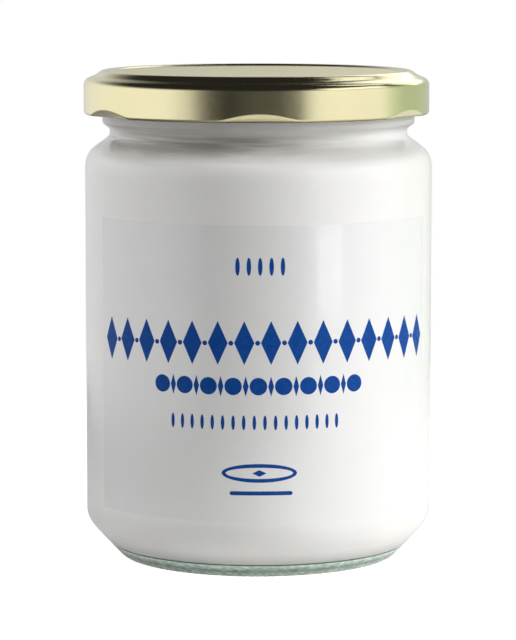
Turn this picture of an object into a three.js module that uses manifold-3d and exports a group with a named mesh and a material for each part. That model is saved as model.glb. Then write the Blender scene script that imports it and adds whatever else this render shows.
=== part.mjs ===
// A shut jar of plain yogurt: a round clear-glass jar, the yogurt that fills it, a pressed-metal
// twist-off lid and a pale film label round its front.
// Millimetres, +Z up. The origin is the centre of the jar's foot and the front faces -Y.

import * as THREE from 'three';
import { mergeVertices } from 'three/addons/utils/BufferGeometryUtils.js';
import Module from 'manifold-3d';

// Jar body
const BODY_RADIUS = 40.0;
const WALL = 2.6;
const SIDES = 72;
const FOOT_INNER_RADIUS = 29.0;
const FOOT_OUTER_RADIUS = 31.3;
const FOOT_CHAMFER = 0.5;
const PUNT_HEIGHT = 2.2;
const PUNT_RADIUS = 17.4;
const HEEL_LOW = { r: 33.3, z: 1.65 };
const HEEL_HIGH = { r: 37.4, z: 6.0 };
const WALL_FROM = 10.6;
const WALL_TO = 90.2;
const HEEL_WALL = 2.6;
const FLOOR_HEIGHT = 3.9;
const FLOOR_CROWN = 1.4;
const INNER_WALL_FROM = 13.0;
const INNER_WALL_TO = 89.4;

// Jar shoulder, neck and finish (the part of the neck that takes the lid)
const SHOULDER_LOW = { r: 37.65, z: 95.05 };
const SHOULDER_HIGH = { r: 35.35, z: 96.7 };
const NECK_RADIUS = 34.3;
const NECK_FROM = 98.2;
const NECK_TO = 99.05;
const NECK_BORE = 32.0;
const NECK_BORE_TO = 99.4;
const SHOULDER_WALL = 2.5;
const RING_FROM = 100.25;
const RING_ROUND = 0.3;
const FINISH_RADIUS = 36.0;
const FINISH_BORE = 33.0;
const FINISH_BORE_FROM = 102.1;
const RIM_HEIGHT = 111.4;
const RIM_ROUND = 1.7;

// Thread leads: short round ridges that climb to the right
const LEADS = 6;
const LEAD_START = THREE.MathUtils.degToRad(-42);
const LEAD_SWEEP = THREE.MathUtils.degToRad(47);
const LEAD_LOW = 103.3;
const LEAD_RISE = 4.3;
const LEAD_RADIUS = 1.4;
const LEAD_INSET = 0.1;
const LEAD_END_SINK = 1.1;
const LEAD_END_POWER = 6;
const LEAD_STEPS = 10;

// Lid
const LID_RADIUS = 39.8;
const LID_SHIFT = -0.45;
const LID_TOP = 112.5;
const LID_BOTTOM = 102.5;
const SHEET = 0.55;
const PANEL_RADIUS = 33.2;
const PANEL_DROP = 0.5;
const BUTTON_RADIUS = 11.0;
const BUTTON_FLAT_RADIUS = 9.0;
const BUTTON_DROP = 0.25;
const CREST_INNER_RADIUS = 34.2;
const CREST_OUTER_RADIUS = 35.7;
const CREST_ROUND = 0.6;
const STEP_RADIUS = 37.2;
const STEP_HEIGHT = 111.35;
const STEP_FALL = 0.5;
const SKIRT_ROUND = 1.3;
const CURL_WIDTH = 1.4;
const CURL_HEIGHT = 2.0;
const LUGS = 6;
const LUG_TURN = THREE.MathUtils.degToRad(1);
const LUG_HALF_ANGLE = THREE.MathUtils.degToRad(13.4);
const LUG_HEIGHT = 1.85;
const LUG_SLOPE = 0.86;

// Yogurt and label
const CLEARANCE = 0.3;
const YOGURT_LEVEL = 102.8;
const YOGURT_SIDES = 48;
const LABEL_LOW = 14.0;
const LABEL_HIGH = 80.0;
const LABEL_TURN = THREE.MathUtils.degToRad(4);
const LABEL_HALF_ANGLE = THREE.MathUtils.degToRad(65);
const LABEL_GAP = 0.1;
const LABEL_THICKNESS = 0.25;

const ARC_STEPS = 3;

const wasm = await Module();
wasm.setup();

// Turns a half outline (x is the radius, y the height) about the upright axis. The outline goes
// round its section anticlockwise, so that the faces look outwards.
function turned(points, sides, startAngle = 0) {
  const geometry = new THREE.LatheGeometry(points, sides, startAngle);
  geometry.rotateX(Math.PI / 2);
  return geometry;
}

function toSolid(geometry) {
  const bare = geometry.clone();
  bare.deleteAttribute('normal');
  bare.deleteAttribute('uv');
  const merged = mergeVertices(bare, 1e-4);
  return new wasm.Manifold(new wasm.Mesh({
    numProp: 3,
    vertProperties: new Float32Array(merged.attributes.position.array),
    triVerts: new Uint32Array(merged.index.array),
  }));
}

function toGeometry(solid) {
  const mesh = solid.getMesh();
  const geometry = new THREE.BufferGeometry();
  geometry.setAttribute('position', new THREE.BufferAttribute(mesh.vertProperties, 3));
  geometry.setIndex(new THREE.BufferAttribute(mesh.triVerts, 1));
  geometry.computeVertexNormals();
  return geometry;
}

// The height where the straight line through a and b has the radius r.
function heightAt(a, b, r) {
  return a.z + ((r - a.r) / (b.r - a.r)) * (b.z - a.z);
}

// The radius where the straight line through a and b has the height z.
function radiusAt(a, b, z) {
  return a.r + ((z - a.z) / (b.z - a.z)) * (b.r - a.r);
}

// The line from a to b moved to its left, which is towards the inside of the jar.
function movedIn(a, b, distance) {
  const length = Math.hypot(b.r - a.r, b.z - a.z);
  const r = (-(b.z - a.z) * distance) / length;
  const z = ((b.r - a.r) * distance) / length;
  return [{ r: a.r + r, z: a.z + z }, { r: b.r + r, z: b.z + z }];
}

// The inside of the jar, from the finish bore down to the middle of the floor, set in by inset.
function traceInside(path, inset, from) {
  const bore = FINISH_BORE - inset;
  const neck = NECK_BORE - inset;
  const wall = BODY_RADIUS - WALL - inset;
  const floor = FLOOR_HEIGHT + inset;
  const [slopeLow, slopeHigh] = movedIn(SHOULDER_LOW, SHOULDER_HIGH, SHOULDER_WALL + inset);
  const [heelLow, heelHigh] = movedIn(HEEL_LOW, HEEL_HIGH, HEEL_WALL + inset);
  path.lineTo(bore, from);
  path.lineTo(bore, FINISH_BORE_FROM);
  path.lineTo(neck, NECK_BORE_TO);
  path.quadraticCurveTo(neck, heightAt(slopeHigh, slopeLow, neck), slopeHigh.r, slopeHigh.z);
  path.lineTo(slopeLow.r, slopeLow.z);
  path.quadraticCurveTo(wall, heightAt(slopeLow, slopeHigh, wall), wall, INNER_WALL_TO);
  path.lineTo(wall, INNER_WALL_FROM);
  path.quadraticCurveTo(wall, heightAt(heelLow, heelHigh, wall), heelHigh.r, heelHigh.z);
  path.lineTo(radiusAt(heelLow, heelHigh, floor), floor);
  path.lineTo(0, floor + FLOOR_CROWN);
}

function jarBody() {
  const rimMiddle = (FINISH_RADIUS + FINISH_BORE) / 2;
  const path = new THREE.Path();
  path.moveTo(0, PUNT_HEIGHT);
  path.quadraticCurveTo(PUNT_RADIUS, PUNT_HEIGHT, FOOT_INNER_RADIUS - FOOT_CHAMFER, FOOT_CHAMFER);
  path.lineTo(FOOT_INNER_RADIUS, 0);
  path.lineTo(FOOT_OUTER_RADIUS, 0);
  path.quadraticCurveTo(radiusAt(HEEL_LOW, HEEL_HIGH, 0), 0, HEEL_LOW.r, HEEL_LOW.z);
  path.lineTo(HEEL_HIGH.r, HEEL_HIGH.z);
  path.quadraticCurveTo(
    BODY_RADIUS, heightAt(HEEL_HIGH, HEEL_LOW, BODY_RADIUS), BODY_RADIUS, WALL_FROM);
  path.lineTo(BODY_RADIUS, WALL_TO);
  path.quadraticCurveTo(
    BODY_RADIUS, heightAt(SHOULDER_LOW, SHOULDER_HIGH, BODY_RADIUS), SHOULDER_LOW.r, SHOULDER_LOW.z);
  path.lineTo(SHOULDER_HIGH.r, SHOULDER_HIGH.z);
  path.quadraticCurveTo(
    NECK_RADIUS, heightAt(SHOULDER_HIGH, SHOULDER_LOW, NECK_RADIUS), NECK_RADIUS, NECK_FROM);
  path.lineTo(NECK_RADIUS, NECK_TO);
  path.lineTo(FINISH_RADIUS - RING_ROUND, RING_FROM);
  path.lineTo(FINISH_RADIUS, RING_FROM + 2 * RING_ROUND);
  path.lineTo(FINISH_RADIUS, RIM_HEIGHT - RIM_ROUND);
  path.quadraticCurveTo(FINISH_RADIUS, RIM_HEIGHT, rimMiddle, RIM_HEIGHT);
  path.quadraticCurveTo(FINISH_BORE, RIM_HEIGHT, FINISH_BORE, RIM_HEIGHT - RIM_ROUND);
  traceInside(path, 0, RIM_HEIGHT - RIM_ROUND);
  return turned(path.getPoints(ARC_STEPS), SIDES);
}

// One thread lead: a round bar along a short climb, half sunk in the finish wall and sinking
// further into it at both ends.
function threadLead(startAngle) {
  const points = [];
  for (let i = 0; i <= LEAD_STEPS; i += 1) {
    const t = i / LEAD_STEPS;
    const angle = startAngle + LEAD_SWEEP * t;
    const sunk = LEAD_END_SINK * Math.abs(2 * t - 1) ** LEAD_END_POWER;
    const radius = FINISH_RADIUS - LEAD_INSET - sunk;
    points.push(new THREE.Vector3(
      radius * Math.sin(angle), -radius * Math.cos(angle), LEAD_LOW + LEAD_RISE * t));
  }
  const section = new THREE.Shape();
  section.absarc(0, 0, LEAD_RADIUS, 0, 2 * Math.PI);
  return new THREE.ExtrudeGeometry(section, {
    steps: LEAD_STEPS,
    curveSegments: 4,
    bevelEnabled: false,
    extrudePath: new THREE.CatmullRomCurve3(points),
  });
}

function jar() {
  let solid = toSolid(jarBody());
  for (let i = 0; i < LEADS; i += 1) {
    solid = solid.add(toSolid(threadLead(LEAD_START + (i * 2 * Math.PI) / LEADS)));
  }
  return toGeometry(solid);
}

function yogurt() {
  const path = new THREE.Path();
  path.moveTo(0, YOGURT_LEVEL);
  traceInside(path, CLEARANCE, YOGURT_LEVEL);
  return turned(path.getPoints(ARC_STEPS).reverse(), YOGURT_SIDES);
}

// Presses the lugs: within each lug the skirt's edge leans in under an arched crease.
function pressLugs(geometry) {
  const position = geometry.attributes.position;
  const pitch = (2 * Math.PI) / LUGS;
  for (let i = 0; i < position.count; i += 1) {
    const x = position.getX(i);
    const y = position.getY(i);
    const radius = Math.hypot(x, y);
    const turn = Math.atan2(x, -y) - LUG_TURN;
    const away = turn - pitch * Math.round(turn / pitch);
    const arch = LUG_HEIGHT * (1 - (away / LUG_HALF_ANGLE) ** 2);
    const depth = LUG_SLOPE * Math.max(0, LID_BOTTOM + arch - position.getZ(i));
    if (radius > STEP_RADIUS && depth > 0) {
      position.setX(i, (x * (radius - depth)) / radius);
      position.setY(i, (y * (radius - depth)) / radius);
    }
  }
}

function lid() {
  const panel = LID_TOP - PANEL_DROP;
  const under = panel - SHEET;
  const crestUnder = RIM_HEIGHT + CLEARANCE;
  const inner = LID_RADIUS - SHEET;
  const step = { r: STEP_RADIUS, z: STEP_HEIGHT };
  const ledge = { r: LID_RADIUS - SKIRT_ROUND, z: STEP_HEIGHT - STEP_FALL };
  const corner = heightAt(step, ledge, LID_RADIUS);
  const skirtTop = corner - SKIRT_ROUND;
  const curlInner = LID_RADIUS - CURL_WIDTH;
  const curlTop = LID_BOTTOM + CURL_HEIGHT;
  const curlMiddle = LID_BOTTOM + CURL_HEIGHT / 2;
  const path = new THREE.Path();
  path.moveTo(0, under - BUTTON_DROP);
  path.lineTo(BUTTON_FLAT_RADIUS, under - BUTTON_DROP);
  path.lineTo(BUTTON_RADIUS, under);
  path.lineTo(PANEL_RADIUS, under);
  path.lineTo(CREST_INNER_RADIUS - SHEET, crestUnder);
  path.lineTo(FINISH_RADIUS + CLEARANCE, crestUnder);
  path.lineTo(step.r - SHEET, step.z - SHEET);
  path.lineTo(ledge.r - SHEET, ledge.z - SHEET);
  path.quadraticCurveTo(inner, corner - SHEET, inner, skirtTop - SHEET);
  path.lineTo(inner, curlTop);
  path.lineTo(curlInner + SHEET, curlTop);
  path.lineTo(curlInner, curlMiddle);
  path.quadraticCurveTo(curlInner, LID_BOTTOM, curlInner + CURL_WIDTH / 2, LID_BOTTOM);
  path.quadraticCurveTo(LID_RADIUS, LID_BOTTOM, LID_RADIUS, curlMiddle);
  path.lineTo(LID_RADIUS, curlTop);
  path.lineTo(LID_RADIUS, skirtTop);
  path.quadraticCurveTo(LID_RADIUS, corner, ledge.r, ledge.z);
  path.lineTo(step.r, step.z);
  path.lineTo(CREST_OUTER_RADIUS + CREST_ROUND, LID_TOP - CREST_ROUND / 3);
  path.lineTo(CREST_OUTER_RADIUS, LID_TOP);
  path.lineTo(CREST_INNER_RADIUS, LID_TOP);
  path.lineTo(PANEL_RADIUS + CLEARANCE, panel);
  path.lineTo(BUTTON_RADIUS, panel);
  path.lineTo(BUTTON_FLAT_RADIUS, panel - BUTTON_DROP);
  path.lineTo(0, panel - BUTTON_DROP);
  const geometry = turned(path.getPoints(ARC_STEPS), SIDES, LUG_TURN);
  pressLugs(geometry);
  return geometry;
}

function label() {
  const middle = LABEL_TURN - Math.PI / 2;
  const inside = BODY_RADIUS + LABEL_GAP;
  const outside = inside + LABEL_THICKNESS;
  const shape = new THREE.Shape();
  shape.absarc(0, 0, outside, middle - LABEL_HALF_ANGLE, middle + LABEL_HALF_ANGLE, false);
  shape.absarc(0, 0, inside, middle + LABEL_HALF_ANGLE, middle - LABEL_HALF_ANGLE, true);
  const segments = Math.round((LABEL_HALF_ANGLE * SIDES) / (2 * Math.PI));
  const geometry = new THREE.ExtrudeGeometry(shape, {
    depth: LABEL_HIGH - LABEL_LOW,
    curveSegments: segments,
    bevelEnabled: false,
  });
  geometry.translate(0, 0, LABEL_LOW);
  return geometry;
}

function piece(name, geometry, color, roughness, metalness) {
  const material = new THREE.MeshStandardMaterial({ color, roughness, metalness });
  const mesh = new THREE.Mesh(geometry, material);
  mesh.name = name;
  return mesh;
}

// The lid sits a little to one side, within the play of its thread.
const cap = piece('lid', lid(), '#d9cf9a', 0.25, 1);
cap.position.x = LID_SHIFT;

const yogurtJar = new THREE.Group();
yogurtJar.add(piece('jar', jar(), '#cfe0d6', 0.05, 0));
yogurtJar.add(piece('yogurt', yogurt(), '#f5f3ee', 0.35, 0));
yogurtJar.add(cap);
yogurtJar.add(piece('label', label(), '#dededd', 0.3, 0));

export default yogurtJar;
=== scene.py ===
from math import cos, exp, hypot, pi, radians, sin, sqrt

import bpy
from bpy.props import FloatProperty, FloatVectorProperty, IntProperty, PointerProperty
from mathutils import Matrix, Vector, noise


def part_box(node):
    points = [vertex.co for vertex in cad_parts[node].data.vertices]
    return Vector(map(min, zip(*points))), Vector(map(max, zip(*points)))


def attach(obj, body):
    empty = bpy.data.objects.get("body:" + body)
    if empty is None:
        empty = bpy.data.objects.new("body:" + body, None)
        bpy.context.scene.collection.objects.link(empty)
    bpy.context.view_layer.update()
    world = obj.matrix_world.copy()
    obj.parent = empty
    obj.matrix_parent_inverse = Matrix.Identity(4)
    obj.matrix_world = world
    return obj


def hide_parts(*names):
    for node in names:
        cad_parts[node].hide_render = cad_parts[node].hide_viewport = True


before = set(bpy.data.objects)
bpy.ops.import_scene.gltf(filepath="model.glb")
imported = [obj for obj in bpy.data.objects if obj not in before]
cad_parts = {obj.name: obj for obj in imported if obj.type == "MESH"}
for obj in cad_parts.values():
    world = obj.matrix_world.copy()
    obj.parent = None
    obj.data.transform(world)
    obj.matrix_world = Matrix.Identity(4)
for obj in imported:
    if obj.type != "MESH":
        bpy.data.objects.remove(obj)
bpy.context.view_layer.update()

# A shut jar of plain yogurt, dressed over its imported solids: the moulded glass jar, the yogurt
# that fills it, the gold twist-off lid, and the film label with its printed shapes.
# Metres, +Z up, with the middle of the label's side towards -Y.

bl_info = {
    "name": "Jar of Yogurt",
    "version": (1, 0, 0),
    "blender": (4, 5, 0),
    "location": "View3D > Sidebar > Yogurt Jar",
    "description": "Builds a shut glass jar of yogurt, its lid, its label and a plain studio",
    "category": "Add Mesh",
}

MM = 0.001
BODY = "root"
JAR_LOW, JAR_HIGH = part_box("jar")
YOGURT_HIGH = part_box("yogurt")[1]
LID_LOW, LID_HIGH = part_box("lid")
LABEL_LOW, LABEL_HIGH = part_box("label")

# Fineness of the meshes, the angles in degrees past which their edges stay sharp, and the
# distances within which a point counts as on the axis or on a wall
JAR_SIDES = 360
YOGURT_SIDES = 240
LID_SIDES = 360
FLOOR_SIDES = 96
FILM_COLUMNS, FILM_ROWS = 140, 48
ROUND_CREASE = 60
FLAT_CREASE = 30
ON_AXIS = 1e-7
ON_WALL = 1e-6

# Small roundings on the jar: start, corner and end, in millimetres out and up from a point; and
# where the push-up's curve turns and the rim's ends, as shares of their radius and rounding
FOOT_LIP = ((-0.6, 0.5), (-0.1, 0.0), (0.4, 0.0))
NECK_LIP = ((0.0, -0.2), (0.0, 0.1), (0.35, 0.4))
RING_LIP = ((-0.4, -0.1), (0.0, 0.2), (0.0, 0.8))
PUNT_SHARE = 0.6
RIM_SHARE = 0.8

# What the mould and the press add: the share of a thread lead that fades at each end, the sizes
# of seams and waves, and the softness of the lugs and their reach in lug heights
LEAD_END_SHARE = 0.12
SEAM_WIDTH = 0.5 * MM
WAVE_SIZE = 22 * MM
WALL_FADE = 8 * MM
LUG_SOFTNESS = 0.12 * MM
LUG_REACH = 3

# Where the lid's roundings start and end, as shares of its straight lines
STEP_SHARE = 0.3
CREST_SHARE = 0.2
PANEL_WALL_SHARES = (0.4, 0.6)

# The print's rows of diamonds and discs, in millimetres, and the least height of a shape's tip
DIAMONDS = 15
DIAMOND_PITCH = 5.92
DIAMOND_ALONG = 2.8
DIAMOND_HEIGHT = 53.2
DIAMOND_ARCH = 0.9
DISCS = 9
DISC_PITCH = 5.6
DISC_HEIGHT = 44.4
INK_SLIVER = 1e-4

# Noise patterns in the materials: size of their features in millimetres, and detail
GLASS_WAVES = (14, 1.0)
GLASS_HAZE = (30, 2.0)
FOOT_STIPPLE = (1.6, 3.0)
CURD_CLOUDS = (9, 4.0)
CURD_GRAIN = (0.8, 2.0)
SHADE_STREAKS = (13, 4.0)
LACQUER_FLOW = (11, 3.0)
LACQUER_RIPPLE = (1.1, 2.0)
FILM_CLOUDS = (5, 4.0)
FILM_RIPPLE = (4, 2.0)
INK_GRAIN = (2.5, 3.0)

# How many times flatter than wide two of them are, the values between which most of a pattern
# lies, and those between which the painted shade in the neck thins out
STIPPLE_FLATNESS = 2.5
STREAK_FLATNESS = 9.0
NOISE_SPAN = (0.3, 0.7)
SHADE_SPAN = (0.35, 0.6)

# Ranges over which roughness and the foot's frost vary
GLASS_ROUGHNESS = (0.0, 0.03)
FOOT_FROST = (0.4, 0.95)
LACQUER_ROUGHNESS = (0.13, 0.2)
FILM_ROUGHNESS = (0.08, 0.13)
INK_ROUGHNESS = (0.22, 0.32)

# Fine relief: strength, and depth in millimetres
GLASS_RELIEF = (0.25, 0.05)
CURD_RELIEF = (0.15, 0.05)
LACQUER_RELIEF = (0.12, 0.03)
FILM_RELIEF = (0.1, 0.03)

# Refraction of the glass, and the width over which the varnish of the lid's panel starts
GLASS_IOR = 1.52
PANEL_EDGE = 1 * MM

# The floor lies just under the jar and fades out between these shares of its radius; the long
# side of the camera's sensor is in millimetres
FLOOR_DROP = 0.1 * MM
FLOOR_FADE = (0.35, 0.95)
SENSOR = 36.0

# The room round the jar: its brightness at degrees from the front to the right, its greenery's
# tint and place, its ceiling's brightness and where that starts in degrees up, and the share of
# its light that matt surfaces take
ROOM = (
    (-180, 0.60), (-146, 0.94), (-128, 1.04), (-108, 1.08), (-93, 1.10), (-75, 1.12),
    (-60, 1.09), (-45, 0.77), (-38, 0.36), (-31, 0.13), (-19, 0.04), (-1, 0.09), (15, 0.10),
    (28, 0.25), (36, 0.88), (42, 1.10), (57, 1.16), (92, 1.08), (102, 0.75), (113, 0.58),
    (144, 0.58), (160, 0.62), (180, 0.60))
GREENERY = (0.97, 1.15, 0.90)
GREENERY_SPAN = (98, 150)
CEILING = 0.02
CEILING_SPAN = (14, 40)
DIFFUSE_SHARE = 0.13

# Lamps: degrees from the front to the right, degrees up, then distance, width and height in
# millimetres, and the one piece that mirrors the lamp and is lit by it, if there is one
LAMPS = {
    "key_light": (74, 22, 800, 500, 400, None),
    "fill_light": (-100, 20, 800, 500, 400, None),
    "top_light": (-20, 68, 800, 500, 400, None),
    "back_light": (180, 32, 800, 500, 400, None),
    "low_strip": (45.5, -3.6, 450, 134, 34, "label_film"),
    "rear_card": (153, 30, 800, 560, 340, "twist_off_lid"),
    "crest_card": (138, 53, 800, 200, 240, "twist_off_lid"),
    "window_card": (78, 40, 800, 700, 280, "twist_off_lid"),
}


# Values and properties

def linear(hex_colour):
    """Turn an sRGB hex colour into linear red, green and blue."""
    channels = [int(hex_colour[i:i + 2], 16) / 255 for i in (1, 3, 5)]
    return [c / 12.92 if c <= 0.04045 else ((c + 0.055) / 1.055) ** 2.4 for c in channels]


def length(name, description, value):
    """A length property whose default is given in millimetres."""
    return FloatProperty(
        name=name, description=description, default=value * MM, unit="LENGTH", precision=5)


def lengths(name, description, *values):
    """Lengths that belong together, whose defaults are given in millimetres."""
    return FloatVectorProperty(
        name=name, description=description, default=[value * MM for value in values],
        size=len(values), unit="LENGTH", precision=5)


def degrees(name, description, value):
    """An angle property whose default is given in degrees."""
    return FloatProperty(
        name=name, description=description, default=radians(value), subtype="ANGLE")


def number(name, description, value):
    """A plain number property."""
    return FloatProperty(name=name, description=description, default=value)


def count(name, description, value):
    """A whole number property."""
    return IntProperty(name=name, description=description, default=value)


def colour(name, description, hex_colour):
    """A colour property whose default is an sRGB hex colour."""
    return FloatVectorProperty(
        name=name, description=description, default=linear(hex_colour), subtype="COLOR",
        min=0.0, max=1.0)


class GlassSettings(bpy.types.PropertyGroup):
    """Sizes and tint of the moulded glass jar."""

    body_radius: length("Body radius", "Outside of the straight wall", JAR_HIGH.x / MM)
    wall: length("Wall", "Thickness of the straight wall", 2.6)
    foot_ring: lengths("Foot ring", "Inner and outer radius of what it stands on", 29.0, 31.3)
    punt_height: length("Push-up", "Height of the hollow under the base", 2.2)
    heel_low: lengths("Heel low", "Radius and height where its cone starts", 33.3, 1.65)
    heel_high: lengths("Heel high", "Radius and height where its cone ends", 37.4, 6.0)
    wall_from: length("Wall from", "Low end of the straight wall", 10.6)
    wall_to: length("Wall to", "High end of the straight wall", 90.2)
    slope_low: lengths("Slope low", "Radius and height where the shoulder starts", 37.65, 95.05)
    slope_high: lengths("Slope high", "Radius and height where the shoulder ends", 35.35, 96.7)
    shoulder_wall: length("Shoulder wall", "Thickness of the shoulder", 2.5)
    neck_radius: length("Neck radius", "Outside of the groove under the ring", 34.3)
    neck_from: length("Neck from", "Low end of the groove", 98.2)
    neck_to: length("Neck to", "High end of the groove", 99.05)
    neck_bore: length("Neck bore", "Inside of the neck", 32.0)
    neck_bore_to: length("Neck bore to", "Top of the narrowest bore", 99.4)
    ring_from: length("Ring from", "Lower edge of the ring below the lid", 100.25)
    finish_radius: length("Finish radius", "Outside of the wall that takes the lid", 36.0)
    finish_bore: length("Finish bore", "Inside of the wall that takes the lid", 33.0)
    finish_bore_from: length("Finish bore from", "Low end of that bore", 102.1)
    rim_height: length("Rim height", "Top of the glass", JAR_HIGH.z / MM)
    rim_round: length("Rim rounding", "Rounding on the rim", 1.7)
    inner_wall_from: length("Inner wall from", "Where the inner heel ends", 13.0)
    inner_wall_to: length("Inner wall to", "Where the inner shoulder starts", 89.4)
    heel_wall: length("Heel wall", "Thickness of the heel's cone", 2.6)
    floor_height: length("Floor height", "Inside of the base at its corner", 3.9)
    floor_crown: length("Floor crown", "Rise of the floor to its middle", 1.4)
    floor_round: length("Floor rounding", "Rounding between inner heel and floor", 1.5)
    leads: count("Thread leads", "Number of thread ridges", 6)
    lead_start: degrees("Lead start", "Angle of the first lead's low end from the front", -42.0)
    lead_sweep: degrees("Lead sweep", "Angle that each lead covers", 47.0)
    lead_low: length("Lead low", "Height of a lead's low end", 103.3)
    lead_rise: length("Lead rise", "How far each lead climbs", 4.3)
    lead_width: length("Lead width", "Width of a lead's ridge", 3.0)
    lead_height: length("Lead height", "How far a lead stands out", 1.3)
    knurls: count("Knurls", "Number of ridges round the foot's ring", 120)
    knurl_height: length("Knurl height", "Depth between the foot's ridges", 0.28)
    stipple_height: length("Stipple height", "Top of the mould's stippled foot", 3.0)
    # Painted shadow: a dark line along the yogurt's lower corner, just over the stippled foot
    edge_width: length("Edge width", "Width of the dark line over the stippled foot", 0.36)
    seam_height: length("Seam height", "How far the two mould seams stand out", 0.06)
    waviness: length("Waviness", "Unevenness of the moulded wall", 0.02)
    tint: colour("Tint", "What the thin wall lets through", "#FBFEFC")
    # Painted shade: the heel's colour darkens towards the foot, with a slight green of the glass in
    # it
    heel_shade: colour("Heel tint", "What the heel lets through just above the foot", "#BCC6C0")
    heel_shade_to: length("Heel tint to", "Height where that tint has gone", 6.2)
    thick_tint: colour("Thick tint", "What the thick foot lets through", "#E2FAEC")
    deep_tint: colour("Deep tint", "What the middle of the foot lets through", "#93B3A1")
    deep: lengths("Deep", "Height and reach of that tint", 1.5, 1.1)
    # Painted highlights on the tips of the foot's ridges, at this height and reach
    tip_highlights: lengths("Tips", "Height and reach of the bright tips of the foot's ridges", 0.75, 0.4)
    # Colour of that painted shadow line
    shadow_line_tint: colour("Edge tint", "What the base lets through where it is seen edge on", "#1E2A24")


class YogurtSettings(bpy.types.PropertyGroup):
    """Level and colours of the yogurt."""

    level: length("Level", "Height of the yogurt's surface", YOGURT_HIGH.z / MM)
    reach: length("Reach", "How far the yogurt reaches into the glass", 0.08)
    cream: colour("Cream", "Main colour of the yogurt", "#F6F4F4")
    whey: colour("Whey", "Colour of its slightly thinner places", "#F1EEED")
    # Painted shade in the neck, where the lid shades the yogurt: a darker colour in level streaks,
    # whole at the left and gone towards the right
    neck_shade: colour("Smear", "Colour of the thin smears in the neck", "#C9C5BB")
    shade_streaks: lengths("Smears", "Height where they are strongest, and their reach", 97.2, 5.4)
    shade_sides: lengths("Smear sides", "Sideways places where they end and are whole", 28.0, 0.0)


class LidSettings(bpy.types.PropertyGroup):
    """Sizes and colours of the pressed-metal lid."""

    radius: length("Radius", "Outside of the skirt", 39.8)
    shift: length("Shift", "How far the lid sits to the right of the jar's axis", -0.45)
    top: length("Top", "Height of the lid's crest", LID_HIGH.z / MM)
    bottom: length("Bottom", "Height of the skirt's lower edge", LID_LOW.z / MM)
    sheet: length("Sheet", "Thickness of the metal", 0.3)
    panel_radius: length("Panel radius", "Radius of the sunk panel", 33.2)
    panel_drop: length("Panel drop", "Depth of the panel below the crest", 0.5)
    button_radius: length("Button radius", "Radius of the sunk middle", 11.0)
    button_slope: length("Button slope", "Width of the slope round the sunk middle", 4.0)
    button_drop: length("Button drop", "Depth of the sunk middle", 0.2)
    crest: lengths("Crest", "Inner and outer radius of the crest", 34.2, 35.7)
    crest_round: length("Crest rounding", "Rounding on the crest", 0.6)
    step: lengths("Step", "Radius and height of the crest's outer foot", 37.2, 111.35)
    step_fall: length("Step fall", "Fall of the ledge to the skirt", 0.5)
    skirt_round: length("Skirt rounding", "Rounding between ledge and skirt", 1.3)
    curl_width: length("Curl width", "Width of the rolled lower edge", 1.4)
    curl_height: length("Curl height", "Height of the rolled lower edge", 2.0)
    lugs: count("Lugs", "Number of places pressed in under the thread", 6)
    lug_turn: degrees("Lug turn", "Angle of the first lug from the front", 1.0)
    lug_half_angle: degrees("Lug half angle", "Half of the angle that a lug covers", 13.4)
    lug_height: length("Lug height", "Height of a lug's arched crease", 1.85)
    lug_slope: number("Lug slope", "Lean of a lug's face", 0.86)
    satin: number("Satin", "Roughness of the panel's varnish", 0.36)
    varnish: number("Varnish", "Share of light that the panel's varnish scatters", 0.34)
    gold: colour("Gold", "Lacquer seen face on", "#E9E2BC")
    gold_deep: colour("Deep gold", "Lacquer where it lies thicker", "#E1D8AA")
    # Painted dark reflection: the curl's lower edge darkened where it mirrors the shaded neck under
    # the lid
    hem_reflection: colour("Hem", "Lacquer rubbed dark along the skirt's lower edge", "#837A55")
    hem_reflection_width: length("Hem width", "Width of that dark line", 0.4)


class LabelSettings(bpy.types.PropertyGroup):
    """Sizes and colours of the label and its printed shapes."""

    low: length("Low", "Height of the label's lower edge", LABEL_LOW.z / MM)
    high: length("High", "Height of the label's upper edge", LABEL_HIGH.z / MM)
    turn: degrees("Turn", "Angle of the label's middle from the front", 4.0)
    half_angle: degrees("Half angle", "Half of the angle that the label covers", 65.0)
    gap: length("Gap", "Glue line between glass and film", 0.05)
    film: length("Film", "Thickness of the film", 0.1)
    ink: length("Ink", "Thickness of the print", 0.02)
    paper: colour("Film colour", "The label's ground", "#F2F2F2")
    paper_shade: colour("Film shade", "The ground where the film is cloudy", "#EEEEEE")
    blue: colour("Blue", "The print", "#124899")
    blue_thin: colour("Thin blue", "The print where its ink is thin", "#184D9C")


class StudioSettings(bpy.types.PropertyGroup):
    """Camera, floor and light."""

    camera_place: lengths("Camera place", "To the right, back and up", -0.09, -776.0, 146.56)
    camera_pitch: degrees("Camera pitch", "How far the camera looks down", 6.768)
    focal_length: number("Focal length", "In millimetres on a 36 mm long side", 189.17)
    floor_radius: length("Floor radius", "Where the floor fades out", 420.0)
    floor_white: colour("Floor", "The pale floor at the key light's side", "#F4F4F2")
    floor_shade: colour("Floor shade", "The floor at the other side", "#7C7C7C")
    floor_sides: lengths("Floor sides", "Sideways places of shade and white", -140.0, 36.0)
    floor_glow: number("Floor glow", "How far the floor is whitened to the eye", 0.85)
    key_light: number("Key light", "Watts of the softbox at the right", 5.26)
    fill_light: number("Fill light", "Watts of the softbox at the left", 2.5)
    top_light: number("Top light", "Watts of the softbox above the front", 3.3)
    back_light: number("Back light", "Watts of the softbox behind the jar", 2.0)
    low_strip: number("Low strip", "Watts of the strip that the label mirrors", 0.017)
    rear_card: number("Rear card", "Watts of the card that the lid's ledge mirrors", 0.72)
    crest_card: number("Crest card", "Watts of the card that the lid's crest mirrors", 0.19)
    window_card: number("Window card", "Watts of the card that the skirt's upper edge mirrors", 0.8)


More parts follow.
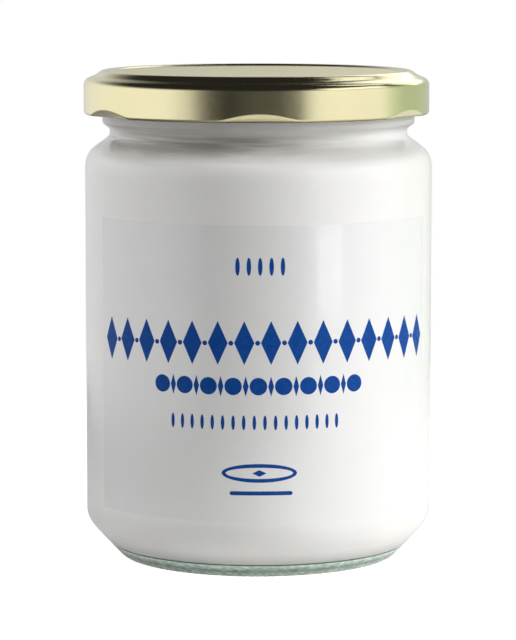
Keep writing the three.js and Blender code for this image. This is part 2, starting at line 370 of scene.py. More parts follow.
class YogurtJarSettings(bpy.types.PropertyGroup):
    """All that a user would change."""

    glass: PointerProperty(type=GlassSettings)
    yogurt: PointerProperty(type=YogurtSettings)
    lid: PointerProperty(type=LidSettings)
    label: PointerProperty(type=LabelSettings)
    studio: PointerProperty(type=StudioSettings)


# Shapes

def between(a, b, t):
    """The point that lies a share of the way from one point to another."""
    return (a[0] + (b[0] - a[0]) * t, a[1] + (b[1] - a[1]) * t)


class Outline:
    """Half of a round piece's section, as points of radius and height."""

    def __init__(self, radius, height):
        self.points = [(radius, height)]

    def line(self, radius, height, steps):
        """Go straight to a point."""
        start = self.points[-1]
        for i in range(1, steps + 1):
            self.points.append(between(start, (radius, height), i / steps))

    def bend(self, corner, end, steps):
        """Round a corner on the way to a point."""
        start = self.points[-1]
        for i in range(1, steps + 1):
            t = i / steps
            first, middle, last = (1 - t) ** 2, 2 * t * (1 - t), t ** 2
            self.points.append(tuple(
                first * a + middle * b + last * c for a, b, c in zip(start, corner, end)))


def at_radius(a, b, radius):
    """The point where the straight line through two points has a radius."""
    return (radius, a[1] + (radius - a[0]) / (b[0] - a[0]) * (b[1] - a[1]))


def at_height(a, b, height):
    """The point where the straight line through two points has a height."""
    return (a[0] + (height - a[1]) / (b[1] - a[1]) * (b[0] - a[0]), height)


def smooth_step(t):
    """Ease from 0 to 1."""
    t = min(max(t, 0.0), 1.0)
    return t * t * (3 - 2 * t)


def wrapped(angle, period):
    """An angle brought to within half a period of 0."""
    return angle - period * round(angle / period)


def mesh_piece(name, vertices, faces, material, crease=FLAT_CREASE):
    """Make a smooth-shaded mesh object whose edges stay sharp past the crease angle."""
    mesh = bpy.data.meshes.new(name)
    mesh.from_pydata(vertices, [], faces)
    mesh.validate()
    mesh.polygons.foreach_set("use_smooth", [True] * len(mesh.polygons))
    mesh.set_sharp_from_angle(angle=radians(crease))
    mesh.materials.append(material)
    mesh.update()
    piece = bpy.data.objects.new(name, mesh)
    bpy.context.scene.collection.objects.link(piece)
    return piece


def turned(name, points, sides, material, shape=None):
    """Turn an outline that starts and ends on the axis into a closed piece. shape takes a
    point's radius, height and angle from the front, and gives its true radius and height."""
    vertices = []
    rings = []
    for radius, height in points:
        corners = sides if radius > ON_AXIS else 1
        ring = []
        for i in range(corners):
            angle = 2 * pi * i / sides
            r, z = shape(radius, height, angle) if shape and corners > 1 else (radius, height)
            ring.append(len(vertices))
            vertices.append((r * sin(angle), -r * cos(angle), z))
        rings.append(ring)
    faces = []
    for low, high in zip(rings, rings[1:]):
        for i in range(sides):
            face = (
                low[i % len(low)], low[(i + 1) % len(low)],
                high[(i + 1) % len(high)], high[i % len(high)])
            faces.append(tuple(dict.fromkeys(face)))
    return mesh_piece(name, vertices, faces, material, ROUND_CREASE)


def lip(radius, height, offsets):
    """The start, corner and end of a small rounding near a point."""
    return [(radius + out * MM, height + up * MM) for out, up in offsets]


def moved_in(a, b, distance):
    """A line that climbs outwards or inwards, moved towards the inside of the jar."""
    run = hypot(b[0] - a[0], b[1] - a[1])
    across = (-(b[1] - a[1]) / run * distance, (b[0] - a[0]) / run * distance)
    return [(point[0] + across[0], point[1] + across[1]) for point in (a, b)]


def inside(glass, inset):
    """The inside of the jar moved in by a distance, from its finish to the middle of its floor."""
    bore = glass.finish_bore - inset
    neck = glass.neck_bore - inset
    wall = glass.body_radius - glass.wall - inset
    floor = glass.floor_height + inset
    slope_low, slope_high = moved_in(
        glass.slope_low, glass.slope_high, glass.shoulder_wall + inset)
    heel_low, heel_high = moved_in(glass.heel_low, glass.heel_high, glass.heel_wall + inset)
    corner = at_height(heel_low, heel_high, floor)
    outline = Outline(bore, glass.rim_height - glass.rim_round)
    outline.line(bore, glass.finish_bore_from, 4)
    outline.line(neck, glass.neck_bore_to, 3)
    outline.bend(at_radius(slope_high, slope_low, neck), slope_high, 12)
    outline.line(*slope_low, 3)
    outline.bend(at_radius(slope_low, slope_high, wall), (wall, glass.inner_wall_to), 10)
    outline.line(wall, glass.inner_wall_from, 12)
    outline.bend(at_radius(heel_low, heel_high, wall), heel_high, 10)
    outline.line(*between(corner, heel_high, glass.floor_round / (heel_high[0] - corner[0])), 6)
    outline.bend(corner, (corner[0] - glass.floor_round, floor), 8)
    outline.line(0, floor + glass.floor_crown, 8)
    return outline.points


def below(points, level):
    """The part of a falling outline below a height, cut off level with it."""
    first = next(i for i, point in enumerate(points) if point[1] < level)
    return [at_height(points[first - 1], points[first], level), *points[first:]]


def jar_outline(glass):
    """The jar's section: under the base, up the outside, over the rim and down the inside."""
    body = glass.body_radius
    heel_low, heel_high = glass.heel_low, glass.heel_high
    slope_low, slope_high = glass.slope_low, glass.slope_high
    neck = glass.neck_radius
    finish = glass.finish_radius
    rim = glass.rim_height
    foot, foot_edge = glass.foot_ring
    outline = Outline(0, glass.punt_height)
    start, corner, end = lip(foot, 0, FOOT_LIP)
    outline.bend((foot * PUNT_SHARE, glass.punt_height), start, 14)
    outline.bend(corner, end, 4)
    outline.line(foot_edge, 0, 6)
    outline.bend(at_height(heel_low, heel_high, 0), heel_low, 8)
    outline.line(*heel_high, 8)
    outline.bend(at_radius(heel_high, heel_low, body), (body, glass.wall_from), 14)
    outline.line(body, glass.wall_to, 40)
    outline.bend(at_radius(slope_low, slope_high, body), slope_low, 16)
    outline.line(*slope_high, 4)
    outline.bend(at_radius(slope_high, slope_low, neck), (neck, glass.neck_from), 8)
    start, corner, end = lip(neck, glass.neck_to, NECK_LIP)
    outline.line(*start, 2)
    outline.bend(corner, end, 4)
    start, corner, end = lip(finish, glass.ring_from, RING_LIP)
    outline.line(*start, 2)
    outline.bend(corner, end, 6)
    outline.line(finish, rim - glass.rim_round, 34)
    outline.bend((finish, rim), (finish - RIM_SHARE * glass.rim_round, rim), 8)
    outline.bend((glass.finish_bore, rim), (glass.finish_bore, rim - glass.rim_round), 8)
    return outline.points + inside(glass, 0)[1:]


def moulded(glass):
    """What the mould adds to the turned jar: thread leads, the foot's ridges, seams and waves."""
    pitch = 2 * pi / glass.leads
    lead_middle = glass.lead_start + glass.lead_sweep / 2
    thread_from = glass.ring_from + RING_LIP[-1][1] * MM
    thread_to = glass.rim_height - glass.rim_round
    heel = glass.heel_low[1]

    def shape(radius, height, angle):
        if radius > glass.finish_radius - ON_WALL and thread_from <= height <= thread_to:
            t = 0.5 + wrapped(angle - lead_middle, pitch) / glass.lead_sweep
            off = (height - glass.lead_low - glass.lead_rise * t) / (glass.lead_width / 2)
            if 0 < t < 1 and abs(off) < 1:
                ends = smooth_step(min(t, 1 - t) / LEAD_END_SHARE)
                radius += glass.lead_height * ends * (0.5 + 0.5 * cos(pi * off))
        elif height < heel and radius > glass.foot_ring[0]:
            ridge = 0.5 - 0.5 * cos(glass.knurls * angle)
            radius -= glass.knurl_height * ridge * smooth_step((heel - height) / heel)
        elif radius > glass.body_radius - ON_WALL:
            edge = min(height - glass.wall_from, glass.wall_to - height)
            fade = smooth_step(edge / WALL_FADE)
            spot = Vector((radius * sin(angle), radius * cos(angle), height))
            radius += glass.waviness * fade * noise.noise(spot / WAVE_SIZE)
            seam = wrapped(angle - pi / 2, pi) * radius / SEAM_WIDTH
            radius += glass.seam_height * fade * exp(-seam * seam)
        return radius, height

    return shape


def lid_outline(lid):
    """The lid's section: under the panel, down inside the skirt, round the curl and back over."""
    sheet = lid.sheet
    panel = lid.top - lid.panel_drop
    dip = panel - lid.button_drop
    crest_in, crest_out = ((radius, lid.top) for radius in lid.crest)
    step = lid.step
    ledge = (lid.radius - lid.skirt_round, step[1] - lid.step_fall)
    corner = at_radius(step, ledge, lid.radius)
    skirt_top = corner[1] - lid.skirt_round
    inner = lid.radius - sheet
    curl_inner = lid.radius - lid.curl_width
    curl_top = lid.bottom + lid.curl_height
    curl_middle = lid.bottom + lid.curl_height / 2
    panel_edge = (lid.panel_radius, panel)
    button_rim = (lid.button_radius, panel)
    button_edge = (lid.button_radius - lid.button_slope, dip)

    outline = Outline(0, dip - sheet)
    outline.line(button_edge[0], dip - sheet, 3)
    outline.line(lid.button_radius, panel - sheet, 4)
    outline.line(lid.panel_radius, panel - sheet, 6)
    outline.line(crest_in[0], lid.top - sheet, 3)
    outline.line(crest_out[0], lid.top - sheet, 3)
    outline.line(step[0] - sheet / 2, step[1] - sheet, 3)
    outline.line(ledge[0] - sheet / 2, ledge[1] - sheet, 2)
    outline.bend((inner, corner[1] - sheet), (inner, skirt_top - sheet), 6)
    outline.line(inner, curl_top, 12)
    outline.bend((curl_inner, curl_top), (curl_inner, curl_middle), 6)
    outline.bend((curl_inner, lid.bottom), (curl_inner + lid.curl_width / 2, lid.bottom), 6)
    outline.bend((lid.radius, lid.bottom), (lid.radius, curl_middle), 8)
    outline.line(lid.radius, lid.bottom + 2 * lid.lug_height, 22)
    outline.line(lid.radius, skirt_top, 6)
    outline.bend(corner, ledge, 12)
    outline.line(*between(step, ledge, STEP_SHARE), 3)
    outline.bend(step, between(step, crest_out, CREST_SHARE), 6)
    outline.line(*between(crest_out, step, lid.crest_round / (step[0] - crest_out[0])), 4)
    outline.bend(crest_out, (crest_out[0] - lid.crest_round, lid.top), 8)
    outline.line(*between(crest_in, crest_out, CREST_SHARE), 3)
    wall_from, wall_to = PANEL_WALL_SHARES
    outline.bend(crest_in, between(crest_in, panel_edge, wall_from), 6)
    outline.line(*between(crest_in, panel_edge, wall_to), 1)
    outline.bend(panel_edge, (lid.panel_radius - lid.crest_round, panel), 6)
    outline.line(*button_rim, 10)
    middle = between(button_rim, button_edge, 0.5)
    outline.bend((between(middle, button_rim, 0.5)[0], panel), middle, 5)
    outline.bend((between(middle, button_edge, 0.5)[0], dip), button_edge, 5)
    outline.line(0, dip, 4)
    return outline.points


def pressed_lugs(lid):
    """What the press does to the lid's skirt: it leans in under an arched crease at each lug."""
    pitch = 2 * pi / lid.lugs

    def shape(radius, height, angle):
        if radius > lid.step[0] and height < lid.bottom + LUG_REACH * lid.lug_height:
            away = wrapped(angle - lid.lug_turn, pitch) / lid.lug_half_angle
            under = lid.bottom + lid.lug_height * (1 - away * away) - height
            radius -= lid.lug_slope * 0.5 * (under + hypot(under, LUG_SOFTNESS))
        return radius, height

    return shape


# Printed shapes: each is a row of columns (place along the label, low edge, high edge)

def lozenge(width, height, steps=8):
    """An upright diamond."""
    columns = []
    for i in range(steps + 1):
        s = width * (i / steps - 0.5)
        half = height * (0.5 - abs(s) / width)
        columns.append((s, -half, half))
    return columns


def oval(width, height, steps=20):
    """A disc or an oval."""
    columns = []
    for i in range(steps + 1):
        s = -cos(pi * i / steps)
        half = 0.5 * height * sqrt(max(0.0, 1 - s * s))
        columns.append((s * width / 2, -half, half))
    return columns


def pill(width, height, steps=8):
    """A bar with round ends."""
    cap = oval(height, height, 2 * steps)
    shift = (width - height) / 2
    left = [(s - shift, low, high) for s, low, high in cap[:steps + 1]]
    right = [(s + shift, low, high) for s, low, high in cap[steps:]]
    middle = [(shift * (2 * i / steps - 1), -height / 2, height / 2) for i in range(1, steps)]
    return left + middle + right


def oval_ring(width, height, band, steps=28):
    """The upper and the lower half of an oval ring."""
    outer = oval(width, height, steps)
    hole = 1 - 2 * band / width
    upper = []
    lower = []
    for s, low, high in outer:
        left = 1 - (2 * s / (width * hole)) ** 2
        half = (0.5 * height - band) * sqrt(max(0.0, left))
        upper.append((s, half, high))
        lower.append((s, low, -half))
    return upper, lower


def row(shape, pieces, pitch, along, up):
    """A level row of like shapes about a place along the label and a height, in millimetres."""
    return [(shape, along + (i - (pieces - 1) / 2) * pitch, up) for i in range(pieces)]


def print_shapes():
    """The label's printed shapes, each with its place along the label and up the jar, in
    millimetres: rows of slim ovals, diamonds and discs, an oval ring and a bar."""
    shapes = row(oval(1.0, 4.0), 5, 2.5, 0.4, 71.0)
    last = DIAMONDS - 1
    diamonds = row(lozenge(4.5, 9.8), DIAMONDS, DIAMOND_PITCH, DIAMOND_ALONG, DIAMOND_HEIGHT)
    for i, (diamond, along, up) in enumerate(diamonds):
        up += DIAMOND_ARCH * (1 - (2 * i / last - 1) ** 2)
        shapes.append((diamond, along, up))
        if i < last:
            shapes.append((oval(1.1, 1.1, 10), along + DIAMOND_PITCH / 2, up))
    shapes += row(oval(3.9, 3.9), DISCS, DISC_PITCH, 0.0, DISC_HEIGHT)
    shapes += row(lozenge(1.3, 4.6), DISCS - 1, DISC_PITCH, 0.0, DISC_HEIGHT)
    shapes += row(oval(0.8, 3.3), 17, 2.35, -0.9, 36.3)
    for half in oval_ring(16.8, 4.2, 0.85):
        shapes.append((half, 0.2, 25.0))
    shapes.append((lozenge(3.2, 1.5), 0.2, 25.0))
    shapes.append((pill(14.0, 0.9), 0.6, 20.5))
    return shapes


def sleeve(loops):
    """The faces that join each loop of points to the next one on its right, and close both ends.
    A loop climbs the outside and comes back down the inside, with as many points on each."""
    faces = []
    size = len(loops[0])
    for a, b in zip(loops, loops[1:]):
        for j in range(size):
            faces.append((a[j - 1], b[j - 1], b[j], a[j]))
    for j in range(size // 2 - 1):
        corners = (j, j + 1, size - 2 - j, size - 1 - j)
        faces.append(tuple(loops[0][k] for k in corners))
        faces.append(tuple(loops[-1][k] for k in reversed(corners)))
    return faces


def upright_loop(vertices, angle, heights, outer, inner):
    """Add the points of a loop at an angle from the front, and give their numbers."""
    start = len(vertices)
    for radius, climb in ((outer, heights), (inner, heights[::-1])):
        for height in climb:
            vertices.append((radius * sin(angle), -radius * cos(angle), height))
    return range(start, len(vertices))


def wrap_shapes(label, body_radius):
    """Wrap the printed shapes round the label as thin closed patches."""
    inner = body_radius + label.gap + label.film - label.ink / 2
    vertices = []
    faces = []
    for columns, along, up in print_shapes():
        loops = []
        for s, low, high in columns:
            angle = (along + s) * MM / body_radius
            heights = [(up + low - INK_SLIVER) * MM, (up + high + INK_SLIVER) * MM]
            loops.append(upright_loop(vertices, angle, heights, inner + label.ink, inner))
        faces += sleeve(loops)
    return vertices, faces


def wrap_film(label, body_radius):
    """Wrap the label's film round the front of the jar as a thin closed panel."""
    inner = body_radius + label.gap
    climb = label.high - label.low
    heights = [label.low + climb * j / FILM_ROWS for j in range(FILM_ROWS + 1)]
    vertices = []
    loops = []
    for i in range(FILM_COLUMNS + 1):
        angle = label.turn + label.half_angle * (2 * i / FILM_COLUMNS - 1)
        loops.append(upright_loop(vertices, angle, heights, inner + label.film, inner))
    return vertices, sleeve(loops)


# Materials

def add(tree, kind, inputs=None, **settings):
    """Add a node with its settings. An input's value is set, or linked if it is a socket."""
    node = tree.nodes.new(kind)
    for name, value in settings.items():
        setattr(node, name, value)
    for name, value in (inputs or {}).items():
        if isinstance(value, bpy.types.NodeSocket):
            tree.links.new(value, node.inputs[name])
        else:
            node.inputs[name].default_value = value
    return node


def new_material(name):
    """A new material, its empty node tree, and the place on a piece that its patterns use."""
    material = bpy.data.materials.new(name)
    material.use_nodes = True
    tree = material.node_tree
    tree.nodes.clear()
    return material, tree, add(tree, "ShaderNodeTexCoord").outputs["Object"]


def rgba(values):
    """A colour with full alpha."""
    return (*values, 1.0)


def mix(tree, factor, first, second):
    """Go from one colour to another by a factor. A colour is a value or a socket."""
    ends = [c if isinstance(c, bpy.types.NodeSocket) else rgba(c) for c in (first, second)]
    return add(tree, "ShaderNodeMix", {
        "Factor": factor, "A": ends[0], "B": ends[1]}, data_type="RGBA").outputs[2]


def maths(tree, operation, *values, **settings):
    """Work out a number from numbers or sockets."""
    inputs = dict(enumerate(values))
    return add(tree, "ShaderNodeMath", inputs, operation=operation, **settings).outputs["Value"]


def ramp(tree, value, start, end, low=0.0, high=1.0, **settings):
    """Turn a value that goes from start to end into one that goes from low to high."""
    return add(tree, "ShaderNodeMapRange", {
        "Value": value, "From Min": start, "From Max": end, "To Min": low, "To Max": high},
        **settings).outputs["Result"]


def near(tree, value, middle, reach):
    """How near a value is to a middle: 1 there, and 0 past the reach to either side."""
    apart = maths(tree, "ABSOLUTE", maths(tree, "SUBTRACT", value, middle))
    return ramp(tree, apart, reach, 0.0)


def axes(tree, place):
    """The X, Y and Z of a place."""
    return add(tree, "ShaderNodeSeparateXYZ", {"Vector": place}).outputs


def flattened(tree, place, times):
    """A place whose height counts a number of times, which makes a pattern's features flat."""
    return add(tree, "ShaderNodeVectorMath", {
        0: place, 1: (1.0, 1.0, times)}, operation="MULTIPLY").outputs["Vector"]


def pattern(tree, place, size, detail):
    """A noise pattern with features of a size in millimetres."""
    return add(tree, "ShaderNodeTexNoise", {
        "Vector": place, "Scale": 1 / (size * MM), "Detail": detail}).outputs["Fac"]


def spread(tree, value, low, high):
    """Spread a noise pattern over a range."""
    return ramp(tree, value, *NOISE_SPAN, low, high)


def relief(tree, value, strength, depth):
    """The fine relief of a pattern, with its depth in millimetres."""
    return add(tree, "ShaderNodeBump", {
        "Height": value, "Strength": strength, "Distance": depth * MM}).outputs["Normal"]


def surfaced(material, inputs):
    """Give a material its surface, from a principled shader's inputs."""
    tree = material.node_tree
    surface = add(tree, "ShaderNodeBsdfPrincipled", inputs)
    add(tree, "ShaderNodeOutputMaterial", {"Surface": surface.outputs["BSDF"]})
    return material


def flint_glass(glass):
    """Flint glass, blown in a mould: clear and glossy with slow waves, and green and frosted at
    the thick foot, where the mould is stippled and ridged. Painted shade darkens the heel towards
    the foot, a painted shadow line runs along the top of the stippled foot, and the tips of the
    foot's ridges carry painted highlights."""
    material, tree, place = new_material("flint_glass_moulded")
    parts = axes(tree, place)
    height = parts["Z"]
    foot = maths(tree, "LESS_THAN", height, glass.stipple_height)
    # Painted shadow: a dark line just over the stippled foot
    half_shadow_line = glass.edge_width / 2
    edge = maths(tree, "COMPARE", height, glass.stipple_height + half_shadow_line, half_shadow_line)
    turn = maths(tree, "ARCTAN2", parts["X"], parts["Y"])
    ridge = maths(tree, "COSINE", maths(tree, "MULTIPLY", turn, glass.knurls))
    # Painted highlights: the foot's ridges turn pale at their tips
    tip_highlights = near(tree, height, *glass.tip_highlights)
    tip = maths(tree, "MULTIPLY", ridge, tip_highlights, use_clamp=True)
    # Painted shade: the wall's colour darkens over the heel towards the foot
    heel = ramp(tree, height, glass.heel_shade_to, glass.stipple_height)
    wall = mix(tree, heel, glass.tint, glass.heel_shade)
    deep = near(tree, height, *glass.deep)
    green = mix(tree, deep, glass.thick_tint, glass.deep_tint)
    base = mix(tree, tip, green, glass.tint)
    body = mix(tree, foot, wall, base)
    stipple = pattern(tree, flattened(tree, place, STIPPLE_FLATNESS), *FOOT_STIPPLE)
    frost = maths(tree, "MULTIPLY", foot, spread(tree, stipple, *FOOT_FROST))
    return surfaced(material, {
        "Base Color": mix(tree, edge, body, glass.shadow_line_tint),
        "Roughness": spread(tree, pattern(tree, place, *GLASS_HAZE), *GLASS_ROUGHNESS),
        "IOR": GLASS_IOR,
        "Transmission Weight": maths(tree, "SUBTRACT", 1.0, frost),
        "Normal": relief(tree, pattern(tree, place, *GLASS_WAVES), *GLASS_RELIEF)})


def set_yogurt(yogurt):
    """Set yogurt: dense white curd that light enters a little way, faintly uneven, with grain
    drawn coarser than its own so that it shows. In the neck it carries painted shade, in level
    streaks that fade out towards the right."""
    material, tree, place = new_material("yogurt_set_curd")
    parts = axes(tree, place)
    # Painted shade in the neck: darker level streaks that fade out towards the right
    streaks = pattern(tree, flattened(tree, place, STREAK_FLATNESS), *SHADE_STREAKS)
    thin = ramp(tree, streaks, *SHADE_SPAN)
    neck = near(tree, parts["Z"], *yogurt.shade_streaks)
    side = ramp(tree, parts["X"], *yogurt.shade_sides)
    neck_shaded = maths(tree, "MULTIPLY", maths(tree, "MULTIPLY", thin, neck), side)
    curd = mix(tree, pattern(tree, place, *CURD_CLOUDS), yogurt.cream, yogurt.whey)
    return surfaced(material, {
        "Base Color": mix(tree, neck_shaded, curd, yogurt.neck_shade),
        "Roughness": 0.45,
        "Subsurface Weight": 0.35,
        "Subsurface Radius": (1.6 * MM, 1.3 * MM, 1.0 * MM),
        "Subsurface Scale": 1.0,
        "Normal": relief(tree, pattern(tree, place, *CURD_GRAIN), *CURD_RELIEF)})


def gold_lacquer(lid):
    """Tinplate with a gold lacquer: a bright metal with pale gold reflections, softened by a fine
    ripple, with a satin varnish on the sunk panel that scatters some light, and a painted dark
    reflection of the shaded neck along the skirt's lower edge."""
    material, tree, place = new_material("gold_lacquer_tinplate")
    parts = axes(tree, place)
    level = add(tree, "ShaderNodeCombineXYZ", {"X": parts["X"], "Y": parts["Y"]})
    out = add(tree, "ShaderNodeVectorMath", {0: level.outputs["Vector"]}, operation="LENGTH")
    panel = ramp(tree, out.outputs["Value"], lid.panel_radius, lid.panel_radius - PANEL_EDGE)
    satin = maths(tree, "MULTIPLY", panel, lid.satin)
    ripple = pattern(tree, place, *LACQUER_RIPPLE)
    # Painted dark reflection of the shaded neck along the curl's lower edge
    hem_reflection = ramp(
        tree, parts["Z"], lid.bottom + 1.5 * lid.hem_reflection_width, lid.bottom + 0.5 * lid.hem_reflection_width)
    lacquer = mix(tree, pattern(tree, place, *LACQUER_FLOW), lid.gold, lid.gold_deep)
    return surfaced(material, {
        "Base Color": mix(tree, hem_reflection, lacquer, lid.hem_reflection),
        "Metallic": ramp(tree, panel, 0.0, 1.0, 1.0, 1 - lid.varnish),
        "Roughness": maths(tree, "MAXIMUM", spread(tree, ripple, *LACQUER_ROUGHNESS), satin),
        "Normal": relief(tree, ripple, *LACQUER_RELIEF)})


def label_film(label):
    """Cast label film, laid on wet: a smooth semi-gloss pale grey-white with slight clouding and
    the slow ripple of its glue."""
    material, tree, place = new_material("label_film_cast")
    clouds = pattern(tree, place, *FILM_CLOUDS)
    return surfaced(material, {
        "Base Color": mix(tree, clouds, label.paper, label.paper_shade),
        "Roughness": spread(tree, clouds, *FILM_ROUGHNESS),
        "Specular IOR Level": 1.0,
        "Normal": relief(tree, pattern(tree, place, *FILM_RIPPLE), *FILM_RELIEF)})


def printed_ink(label):
    """Blue ink, printed on film: dense and slightly glossy, a little thinner in places."""
    material, tree, place = new_material("blue_ink_printed")
    grain = pattern(tree, place, *INK_GRAIN)
    return surfaced(material, {
        "Base Color": mix(tree, grain, label.blue, label.blue_thin),
        "Roughness": spread(tree, grain, *INK_ROUGHNESS),
        "Specular IOR Level": 0.1})


def studio_floor(studio):
    """A matt white sheet, whitened to the eye, that throws back less light from the side away
    from the key light and fades out towards its edge."""
    material, tree, place = new_material("white_studio_sheet")
    away = add(tree, "ShaderNodeVectorMath", {0: place}, operation="LENGTH").outputs["Value"]
    start, end = (share * studio.floor_radius for share in FLOOR_FADE)
    fade = ramp(tree, away, start, end, interpolation_type="SMOOTHSTEP")
    side = ramp(tree, axes(tree, place)["X"], *studio.floor_sides)
    tone = mix(tree, side, studio.floor_shade, studio.floor_white)
    sheet = add(tree, "ShaderNodeBsdfDiffuse", {"Color": tone})
    seen = add(tree, "ShaderNodeLightPath").outputs["Is Camera Ray"]
    strength = maths(tree, "MULTIPLY", seen, studio.floor_glow)
    glow = add(tree, "ShaderNodeEmission", {"Strength": strength})
    lit = add(tree, "ShaderNodeAddShader", {0: sheet.outputs["BSDF"], 1: glow.outputs["Emission"]})
    clear = add(tree, "ShaderNodeBsdfTransparent")
    mixed = add(tree, "ShaderNodeMixShader", {
        "Fac": fade, 1: lit.outputs["Shader"], 2: clear.outputs["BSDF"]})
    add(tree, "ShaderNodeOutputMaterial", {"Surface": mixed.outputs["Shader"]})
    return material


# Light

def room_light():
    """The room as a soft light: bright at both sides, with some greenery, and dark behind the
    camera and overhead. The camera itself sees plain white."""
    world = bpy.data.worlds.new("soft_room")
    world.use_nodes = True
    tree = world.node_tree
    tree.nodes.clear()
    parts = axes(tree, add(tree, "ShaderNodeTexCoord").outputs["Generated"])
    turn = maths(tree, "ARCTAN2", parts["X"], maths(tree, "MULTIPLY", parts["Y"], -1.0))
    ring = add(tree, "ShaderNodeValToRGB", {"Fac": ramp(tree, turn, -pi, pi)})
    stops = ring.color_ramp.elements
    while len(stops) < len(ROOM):
        stops.new(0.5)
    for stop, (angle, level) in zip(stops, ROOM):
        stop.position = angle / 360 + 0.5
        tint = GREENERY if GREENERY_SPAN[0] < angle < GREENERY_SPAN[1] else (1.0, 1.0, 1.0)
        stop.color = rgba(level * share for share in tint)
    start, end = (sin(radians(angle)) for angle in CEILING_SPAN)
    above = ramp(tree, parts["Z"], start, end, interpolation_type="SMOOTHSTEP")
    path = add(tree, "ShaderNodeLightPath").outputs
    lit = add(tree, "ShaderNodeBackground", {
        "Color": mix(tree, above, ring.outputs["Color"], (CEILING, CEILING, CEILING)),
        "Strength": ramp(tree, path["Is Diffuse Ray"], 0.0, 1.0, 1.0, DIFFUSE_SHARE)})
    white = add(tree, "ShaderNodeBackground", {"Color": (1.0, 1.0, 1.0, 1.0)})
    shown = add(tree, "ShaderNodeMixShader", {
        "Fac": path["Is Camera Ray"],
        1: lit.outputs["Background"], 2: white.outputs["Background"]})
    add(tree, "ShaderNodeOutputWorld", {"Surface": shown.outputs["Shader"]})
    return world


def softbox(name, turn, rise, distance, width, height, mirrored_by, watts):
    """Hang a lit rectangle that faces the jar's middle. It lights everything and leaves no shape
    on the gloss, or it lights one piece, which mirrors it."""
    lamp = bpy.data.lights.new(name, "AREA")
    lamp.shape = "RECTANGLE"
    lamp.size = width * MM
    lamp.size_y = height * MM
    lamp.energy = watts
    box = bpy.data.objects.new(name, lamp)
    turn, rise = radians(turn), radians(rise)
    level = distance * MM * cos(rise)
    middle = (JAR_LOW.z + JAR_HIGH.z) / 2
    box.location = (
        level * sin(turn), -level * cos(turn), middle + distance * MM * sin(rise))
    box.rotation_euler = (pi / 2 - rise, 0, turn)
    box.visible_camera = False
    box.visible_glossy = mirrored_by is not None
    bpy.context.scene.collection.objects.link(box)
    if mirrored_by:
        lit = bpy.data.collections.new(name + "_lights")
        lit.objects.link(bpy.data.objects[mirrored_by])
        box.light_linking.receiver_collection = lit


# Operators

def settle(piece, slot, *nodes):
    """Make a piece ride with the jar and stand for CAD nodes. Its slot is not used."""
    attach(piece, BODY)
    if nodes:
        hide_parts(*nodes)


def let_light_by(piece):
    """Keep a clear or thin piece from shading what is under it or throwing light back on it."""
    piece.visible_shadow = False
    piece.visible_diffuse = False


class YOGURTJAR_OT_glass(bpy.types.Operator):
    """Build the moulded glass jar"""

    bl_idname = "yogurt_jar.glass"
    bl_label = "Glass Jar"

    def execute(self, context):
        glass = context.scene.yogurt_jar.glass
        jar = turned(
            "glass_jar", jar_outline(glass), JAR_SIDES, flint_glass(glass), moulded(glass))
        let_light_by(jar)
        settle(jar, "glass", "jar")
        return {"FINISHED"}


class YOGURTJAR_OT_yogurt(bpy.types.Operator):
    """Fill the jar with yogurt"""

    bl_idname = "yogurt_jar.yogurt"
    bl_label = "Yogurt"

    def execute(self, context):
        settings = context.scene.yogurt_jar
        yogurt = settings.yogurt
        wetted = below(inside(settings.glass, -yogurt.reach), yogurt.level)
        outline = Outline(*wetted[-1])
        outline.points.extend(wetted[-2::-1])
        outline.line(0, yogurt.level, 12)
        filling = turned("yogurt_filling", outline.points, YOGURT_SIDES, set_yogurt(yogurt))
        settle(filling, "yogurt", "yogurt")
        return {"FINISHED"}


class YOGURTJAR_OT_lid(bpy.types.Operator):
    """Build the gold twist-off lid"""

    bl_idname = "yogurt_jar.lid"
    bl_label = "Twist-off Lid"

    def execute(self, context):
        lid = context.scene.yogurt_jar.lid
        cap = turned(
            "twist_off_lid", lid_outline(lid), LID_SIDES, gold_lacquer(lid), pressed_lugs(lid))
        cap.data.transform(Matrix.Translation((lid.shift, 0, 0)))
        settle(cap, "gold_lacquer", "lid")
        return {"FINISHED"}


class YOGURTJAR_OT_label(bpy.types.Operator):
    """Build the film label and its printed shapes"""

    bl_idname = "yogurt_jar.label"
    bl_label = "Label"

    def execute(self, context):
        settings = context.scene.yogurt_jar
        label = settings.label
        radius = settings.glass.body_radius
        film = mesh_piece("label_film", *wrap_film(label, radius), label_film(label))
        let_light_by(film)
        settle(film, "label_film", "label")
        ink = mesh_piece("label_print", *wrap_shapes(label, radius), printed_ink(label))
        let_light_by(ink)
        settle(ink, "label_film")
        return {"FINISHED"}


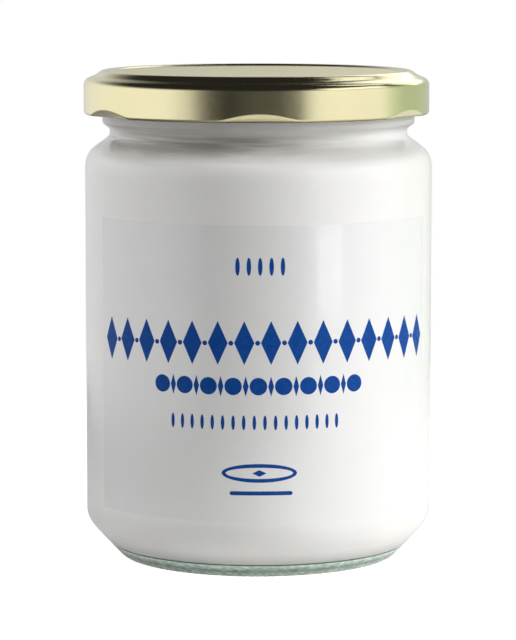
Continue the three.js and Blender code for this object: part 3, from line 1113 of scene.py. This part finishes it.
class YOGURTJAR_OT_studio(bpy.types.Operator):
    """Set up the floor, the light and the camera"""

    bl_idname = "yogurt_jar.studio"
    bl_label = "Studio"

    def execute(self, context):
        scene = context.scene
        studio = scene.yogurt_jar.studio
        rim = []
        for i in range(FLOOR_SIDES):
            angle = 2 * pi * i / FLOOR_SIDES
            rim.append((
                studio.floor_radius * cos(angle),
                studio.floor_radius * sin(angle), -FLOOR_DROP))
        floor = mesh_piece("studio_floor", rim, [tuple(range(FLOOR_SIDES))], studio_floor(studio))
        for name, place in LAMPS.items():
            softbox(name, *place, getattr(studio, name))
        lens = bpy.data.cameras.new("photo_camera")
        lens.lens = studio.focal_length
        lens.sensor_width = SENSOR
        camera = bpy.data.objects.new("photo_camera", lens)
        camera.location = studio.camera_place
        camera.rotation_euler = (pi / 2 - studio.camera_pitch, 0, 0)
        scene.collection.objects.link(camera)
        scene.camera = camera
        scene.world = room_light()
        scene.view_settings.view_transform = "Standard"
        return {"FINISHED"}


class YOGURTJAR_PT_panel(bpy.types.Panel):
    """The jar's pieces and their sizes"""

    bl_idname = "YOGURTJAR_PT_panel"
    bl_label = "Jar of Yogurt"
    bl_space_type = "VIEW_3D"
    bl_region_type = "UI"
    bl_category = "Yogurt Jar"

    def draw(self, context):
        settings = context.scene.yogurt_jar
        for operator, group in zip(OPERATORS, (
                settings.glass, settings.yogurt, settings.lid, settings.label, settings.studio)):
            box = self.layout.box()
            box.operator(operator.bl_idname)
            for name in group.__annotations__:
                box.prop(group, name)


OPERATORS = (
    YOGURTJAR_OT_glass, YOGURTJAR_OT_yogurt, YOGURTJAR_OT_lid, YOGURTJAR_OT_label,
    YOGURTJAR_OT_studio)
CLASSES = (
    GlassSettings, YogurtSettings, LidSettings, LabelSettings, StudioSettings, YogurtJarSettings,
    *OPERATORS, YOGURTJAR_PT_panel)


def register():
    for cls in CLASSES:
        bpy.utils.register_class(cls)
    bpy.types.Scene.yogurt_jar = PointerProperty(type=YogurtJarSettings)


def unregister():
    del bpy.types.Scene.yogurt_jar
    for cls in reversed(CLASSES):
        bpy.utils.unregister_class(cls)


def main():
    """Build every piece in order."""
    register()
    bpy.ops.yogurt_jar.glass()
    bpy.ops.yogurt_jar.yogurt()
    bpy.ops.yogurt_jar.lid()
    bpy.ops.yogurt_jar.label()
    bpy.ops.yogurt_jar.studio()


if __name__ == "__main__":
    main()
